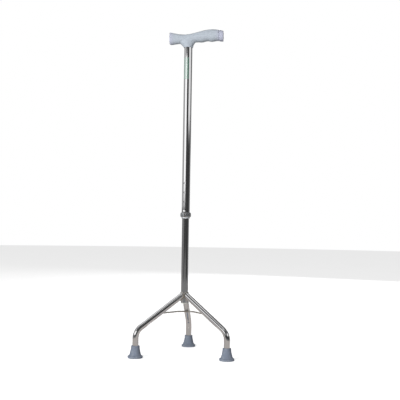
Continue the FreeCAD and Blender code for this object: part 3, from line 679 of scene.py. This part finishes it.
def make_nut():
    """A fluted nut: twelve thumb flutes between rounded crests, and a bevel at each end."""
    outer, height = nut_high.x, nut_high.z - nut_low.z
    bore = tube_radius + 0.12 * MM
    outline = softened([
        (bore, 0.4 * MM, 0.3 * MM), (outer - 1.5 * MM, 0, 0.5 * MM), (outer, 2.0 * MM, 1.0 * MM),
        (outer, height - 3.2 * MM, 1.2 * MM), (outer - 2.0 * MM, height, 0.6 * MM),
        (bore, height - 0.3 * MM, 0.3 * MM)], 6)
    flutes, depth, rim = 12, 0.75 * MM, 2.4 * MM
    narrowness, fullness = 3.0, 0.4

    def fluted(angle, point):
        """Flutes fade out towards the bevels and never reach the bore."""
        r, z = point
        if r < outer - rim:
            return r, z
        wave = abs(math.cos(flutes * angle / 2)) ** narrowness
        fade = math.sin(math.pi * min(1, max(0, z / height))) ** fullness
        return r - depth * wave * fade, z

    nut = object_from(moved(turned(outline, 288, fluted), Matrix.Translation((0, 0, nut_low.z))),
                      "knurled_nut")
    crease_sharp(nut, 60)
    fit(nut, FINISHES["nut_zinc"], "nut", "nut_zinc", "lock_nut")


def make_collet():
    """The collet's lip and fingers: a soft-edged ring split by four saw cuts."""
    low, high = collet_low.z, collet_high.z
    lip, bore = collet_high.x - 1.0 * MM, stem_radius + 0.06 * MM
    step, sleeve_bore = tube_radius + 0.04 * MM - 0.4 * MM, tube_radius + 0.02 * MM
    wall, length, segments = tube_low.z - low, high - low, 128
    outline = softened([
        (bore, 0, 0.3 * MM), (lip, 0, 0.9 * MM), (lip, 3.4 * MM, 0.7 * MM),
        (step, 3.6 * MM, 0.2 * MM), (step, wall, 0.2 * MM), (bore, wall, 0.2 * MM)], 5)
    to_place = Matrix.Translation((0, 0, low))
    ring = object_from(moved(turned(outline, segments), to_place), "collet_ring")
    sleeve = turned(softened([
        (sleeve_bore, wall, 0), (collet_high.x, wall, 0.2 * MM),
        (collet_high.x, length, 0.3 * MM), (sleeve_bore, length, 0)]), segments)
    cut_half, cut_low, cut_high, cut_radii = 0.5 * MM, -1 * MM, 2.6 * MM, (8 * MM, 13 * MM)
    cut = softened([(-cut_half, cut_low, 0), (cut_half, cut_low, 0),
                    (cut_half, cut_high, 0), (-cut_half, cut_high, 0)])
    for k in range(4):
        rings = [[Vector((r, p[0], p[1] + low)) for p in cut] for r in cut_radii]
        cutter = object_from(moved(skin(rings), about_z(45 + 90 * k)), "saw_cut")
        modify(ring, "BOOLEAN", operation="DIFFERENCE", object=cutter, solver="EXACT")
        bpy.data.objects.remove(cutter)
    lip_mesh = bmesh.new()
    lip_mesh.from_mesh(ring.data)
    bpy.data.objects.remove(ring)
    collet = joined([lip_mesh, moved(sleeve, to_place)], "collet_lip")
    crease_sharp(collet, 40)
    fit(collet, FINISHES["collet_plastic"], "upper", "collet_plastic", "collet")


def make_button():
    """The snap button: a flange inside the tube, a short shank and a polished dome."""
    out = Vector((math.cos(math.radians(BUTTON_AZIMUTH)), math.sin(math.radians(BUTTON_AZIMUTH)), 0))
    middle = (button_low + button_high) / 2
    flange_r = (button_high.z - button_low.z) / 2
    crown = tube_radius + 3.0 * MM
    shank_r = 2.92 * MM
    flange = crown - 8.3 * MM
    outline = [Vector((0, flange)), *softened([
        (flange_r, flange, 0.2 * MM), (flange_r, flange + 0.8 * MM, 0.2 * MM),
        (shank_r, flange + 0.9 * MM, 0.1 * MM)])]
    dome, dome_steps = 1.9 * MM, 12
    for k in range(dome_steps):
        angle = math.pi / 2 * k / dome_steps
        outline.append(Vector((shank_r * math.cos(angle), crown - dome + dome * math.sin(angle))))
    outline.append(Vector((0, crown)))
    tilt = out.to_track_quat("Z", "Y").to_matrix().to_4x4()
    place = Matrix.Translation(Vector((0, 0, middle.z))) @ tilt
    button = crease_sharp(object_from(moved(turned(outline, 64), place), "dome_button"), 50)
    fit(button, FINISHES["button_steel"], "button", "button_steel", "snap_button")


def make_film():
    """The clear film: a thin sheet bent round the tube, with rounded corners."""
    start, sweep = math.radians(FILM_AZIMUTHS[0]), math.radians(FILM_AZIMUTHS[1] - FILM_AZIMUTHS[0])
    inner, outer, corner, columns = tube_radius + 0.06 * MM, tube_radius + 0.15 * MM, 2.0 * MM, 84
    rings = []
    for k in range(columns + 1):
        share = k / columns
        from_edge = min(share, 1 - share) * sweep * outer
        ease = corner - math.sqrt(corner ** 2 - max(0.0, corner - from_edge) ** 2)
        low, high = film_low.z + ease, film_high.z - ease
        angle = start + sweep * share
        rings.append([Vector((r * math.cos(angle), r * math.sin(angle), z))
                      for r, z in ((inner, low), (outer, low), (outer, high), (inner, high))])
    film = crease_sharp(object_from(skin(rings), "film_sheet"), 30)
    fit(film, FINISHES["clear_film"], "upper", "clear_film", "label_film")


make_nut()
make_collet()
make_button()
make_film()


# ---- rubber tips and stem plug ----

def make_tip(side):
    """A bell of rubber: thick rounded foot, drawn-in waist, a straight cuff with a lip at its mouth."""
    height = tip_high.z - tip_low.z
    outer = (tip_high.x - tip_low.x) / 2
    cuff, bore = leg_radius + 2.8 * MM, leg_radius + 0.02 * MM
    floor, groove = 6.0 * MM, 1.4 * MM
    outline = [Vector((0, groove)), *softened([
        (5.0 * MM, groove, 0.2 * MM), (5.4 * MM, 0, 0.3 * MM), (9.6 * MM, 0, 0.3 * MM),
        (10.0 * MM, groove, 0.3 * MM), (12.2 * MM, groove, 0.3 * MM),
        (12.6 * MM, 0, 0.3 * MM), (outer - 0.6 * MM, 0, 0.9 * MM), (outer, 2.6 * MM, 1.6 * MM),
        (outer - 0.4 * MM, 5.4 * MM, 1.4 * MM), (16.0 * MM, 7.0 * MM, 3.0 * MM),
        (14.2 * MM, 12.0 * MM, 6.0 * MM), (cuff + 1.2 * MM, 22.0 * MM, 8.0 * MM),
        (cuff + 0.2 * MM, height - 2.6 * MM, 0.5 * MM), (cuff + 0.5 * MM, height - 2.2 * MM, 0.3 * MM),
        (cuff + 0.3 * MM, height, 0.6 * MM), (bore, height, 0.5 * MM), (bore, floor, 0)]),
        Vector((0, floor))]
    azimuth = LEG_AZIMUTHS[side]
    place = about_z(azimuth) @ Matrix.Translation((foot_reach, 0, 0))
    tip = crease_sharp(object_from(moved(turned(outline, 112), place), f"rubber_tip_{side}"), 50)
    fit(tip, FINISHES["tip_rubber"], "base", "tip_rubber", f"tip_{side}")


def make_plug():
    """The stopper in the stem's open end: a soft-edged flange with a moulded dimple.

    The last eased point leans back towards the first corner, so it is left out.
    """
    height, length = stem_low.z - plug_low.z, plug_high.z - plug_low.z
    r, dimple = stem_radius, 0.7 * MM
    outline = [Vector((0, dimple)), *softened([
        (3.0 * MM, dimple, 0.4 * MM), (3.8 * MM, 0, 0.4 * MM), (r - 0.4 * MM, 0, 0.8 * MM),
        (r, height - 0.1 * MM, 0.5 * MM), (r - 1.4 * MM, height, 0.2 * MM),
        (r - 1.4 * MM, length, 0.6 * MM)])[:-1], Vector((0, length))]
    plug = crease_sharp(object_from(
        moved(turned(outline, 80), Matrix.Translation((0, 0, plug_low.z))), "stem_stopper"), 45)
    fit(plug, FINISHES["plug_rubber"], "base", "plug_rubber", "stem_plug")


for side in LEG_AZIMUTHS:
    make_tip(side)
make_plug()


# ---- camera, floor and light ----

def make_camera():
    """A camera in front and a little to the right, turned by its yaw, pitch and roll."""
    yaw, pitch, roll = (math.radians(angle) for angle in CAMERA_TURN)
    azimuth = math.radians(CAMERA_AZIMUTH)
    heading = azimuth - yaw
    forward = Vector((-math.sin(heading) * math.cos(pitch), math.cos(heading) * math.cos(pitch),
                      -math.sin(pitch)))
    right = Vector((forward.y, -forward.x, 0)).normalized()
    up = right.cross(forward)
    tilted_right = right * math.cos(roll) + up * math.sin(roll)
    tilted_up = up * math.cos(roll) - right * math.sin(roll)
    data = bpy.data.cameras.new("camera")
    data.sensor_width = SENSOR_WIDTH
    data.lens = LENS
    camera = bpy.data.objects.new("camera", data)
    bpy.context.scene.collection.objects.link(camera)
    turn = Matrix((tilted_right, tilted_up, -forward)).transposed().to_4x4()
    at = Vector((CAMERA_DISTANCE * math.sin(azimuth), -CAMERA_DISTANCE * math.cos(azimuth),
                 EYE_HEIGHT))
    camera.matrix_world = Matrix.Translation(at) @ turn
    bpy.context.scene.camera = camera


def glowing(name, low_colour, high_colour, low, high):
    """A surface that only gives light, from one colour up to another between two heights."""
    f = Finish(name, Base_Color=grey(0), Specular_IOR_Level=0.0, Emission_Strength=1.0)
    rise = f.band(f.split(f.place)[2], low, high)
    f.set(Emission_Color=f.blend(rise, low_colour, high_colour))
    return f.material


def seen_in_gloss_only(obj):
    """Leaves a piece of the stage in reflections and nowhere else."""
    obj.visible_camera = False
    obj.visible_diffuse = False
    obj.visible_shadow = False
    obj.visible_transmission = False
    obj.visible_volume_scatter = False


def sheet(name, azimuths, rows, material):
    """A sheet round the stage between two azimuths from the camera, through (radius, height) rows."""
    start, end = azimuths
    steps = max(2, round((end - start) / FACE_WIDTH))
    rings = []
    for r, height in rows:
        ring = []
        for k in range(steps + 1):
            angle = math.radians(CAMERA_AZIMUTH + start + (end - start) * k / steps)
            ring.append(Vector((r * math.sin(angle), -r * math.cos(angle), height)))
        rings.append(ring)
    bm = bmesh.new()
    grid = [[bm.verts.new(point) for point in ring] for ring in rings]
    for low, high in zip(grid, grid[1:]):
        for k in range(steps):
            bm.faces.new((low[k], low[k + 1], high[k + 1], high[k]))
    made = object_from(bm, name)
    made.data.materials.append(material)
    seen_in_gloss_only(made)


def stage_card(name, azimuths, elevations, level, low_level=None, fade=(0, 1)):
    """A domed card between two elevations; it can fade from a low level between two others."""
    def height(elevation):
        return EYE_HEIGHT + CARD_RADIUS * math.sin(math.radians(elevation))
    low, high = elevations
    steps = max(2, round((high - low) / FACE_HEIGHT))
    rows = []
    for k in range(steps + 1):
        elevation = low + (high - low) * k / steps
        rows.append((CARD_RADIUS * math.cos(math.radians(elevation)), height(elevation)))
    start = level if low_level is None else low_level
    material = glowing(name, grey(start), grey(level), height(fade[0]), height(fade[1]))
    sheet(name, azimuths, rows, material)


FACE_WIDTH = 5                     # degrees of a card or cloth that one face covers, across
FACE_HEIGHT = 6                    # and upward
FLOOR_RADIUS = 9.0
FLOOR_DROP = 0.2 * MM              # keeps the floor clear of the tips that stand on it
CLOTH_HEIGHT = 0.6 * MM
CLOTH_EDGE = 0.68                  # radius where the warm cloth ends and the others begin
# Name, azimuths from the camera, inner and outer radius, light given.
CLOTHS = [
    ("warm_cloth", (-180, 180), (0.02, CLOTH_EDGE), (0.45, 0.42, 0.40, 1)),
    ("grey_cloth", (-180, -46), (CLOTH_EDGE, CARD_RADIUS), grey(0.22)),
    ("dark_cloth", (-46, 180), (CLOTH_EDGE, CARD_RADIUS), grey(0.20)),
]
# Name, azimuths from the camera, elevations, level; some fade from a low level between elevations.
CARDS = [
    ("left_low", (-180, -46), (-8, 2), 0.18),
    ("front_low", (-46, -20), (-8, 2), 0.04),
    ("soft_left", (-78, -20), (2, 22), 1.15, 0.5, (2, 6)),
    ("left_top", (-66, -6), (22, 76), 0.12),
    ("camera_dark", (-20, 30), (-8, 22), 0.05, 0.17, (-6.5, -2.5)),
    ("camera_top", (-6, 30), (22, 46), 0.06),
    ("soft_right", (30, 88), (-8, 27), 0.85, 0.04, (10, 15)),
    ("right_top", (30, 180), (27, 75), 0.13),
    ("back_right", (88, 150), (-8, 27), 0.16),
    ("rim", (150, 180), (-8, 27), 0.16, 0.9, (7, 12)),
    ("back_left", (-180, -78), (2, 50), 0.38),
]


def make_stage():
    """A pale floor, and the cards and cloths that the chrome reflects."""
    bm = bmesh.new()
    bmesh.ops.create_circle(bm, cap_ends=True, segments=96, radius=FLOOR_RADIUS)
    floor = object_from(moved(bm, Matrix.Translation((0, 0, -FLOOR_DROP))), "pale_floor")
    f = Finish("pale_floor", Specular_IOR_Level=0.0, Emission_Strength=0.62)
    paper = f.noise(3, 3)
    f.set(Base_Color=f.blend(paper, grey(0.93), grey(0.95)))
    f.set(Emission_Color=f.blend(paper, grey(0.98), grey(1.0)))
    f.set(Roughness=0.9 + paper * 0.05)
    floor.data.materials.append(f.material)
    floor.visible_diffuse = False
    for name, azimuths, radii, colour in CLOTHS:
        rows = [(r, CLOTH_HEIGHT) for r in radii]
        sheet(name, azimuths, rows, glowing(name, colour, colour, 0, 1))
    for card in CARDS:
        stage_card(*card)


# Name, place, point that it faces, length of a side, watts.
LIGHTS = [
    ("key", (-1.4, -2.6, 1.1), (0, 0, 0.55), 1.6, 88),
    ("rear", (0.9, 2.6, 1.3), (0, 0, 0.5), 2.0, 30),
    ("fill", (1.9, -1.6, 0.5), (0, 0, 0.3), 1.6, 6),
]


def make_light(name, at, target, size, power):
    """A square white light that no reflection shows."""
    data = bpy.data.lights.new(name, "AREA")
    data.shape = "SQUARE"
    data.size = size
    data.energy = power
    light = bpy.data.objects.new(name, data)
    bpy.context.scene.collection.objects.link(light)
    light.location = at
    light.rotation_euler = (Vector(target) - Vector(at)).to_track_quat("-Z", "Y").to_euler()
    light.visible_glossy = False


def make_world():
    """White to the eye, bright overhead in the chrome, and on matt surfaces soft from below."""
    world = bpy.data.worlds.new("studio")
    bpy.context.scene.world = world
    world.use_nodes = True
    g = Graph(world.node_tree)
    upward = g.split(g.node("ShaderNodeTexCoord", {}, {}, "Generated"))[2]
    soft = g.blend(g.band(upward, -0.45, 0.55), grey(0.40), grey(0.20))
    matt = g.node("ShaderNodeBackground", {}, {"Color": soft})
    gloss = g.node("ShaderNodeBackground", {}, {"Color": grey(0.95)})
    white = g.node("ShaderNodeBackground", {}, {"Color": grey(1.0)})
    in_gloss = g.node("ShaderNodeLightPath", {}, {}, "Is Glossy Ray")
    to_eye = g.node("ShaderNodeLightPath", {}, {}, "Is Camera Ray")
    lit = g.node("ShaderNodeMixShader", {}, {0: in_gloss, 1: matt, 2: gloss})
    seen = g.node("ShaderNodeMixShader", {}, {0: to_eye, 1: lit, 2: white})
    g.node("ShaderNodeOutputWorld", {}, {0: seen}, None)


make_camera()
make_stage()
make_world()
for light in LIGHTS:
    make_light(*light)
bpy.context.scene.view_settings.view_transform = "Standard"
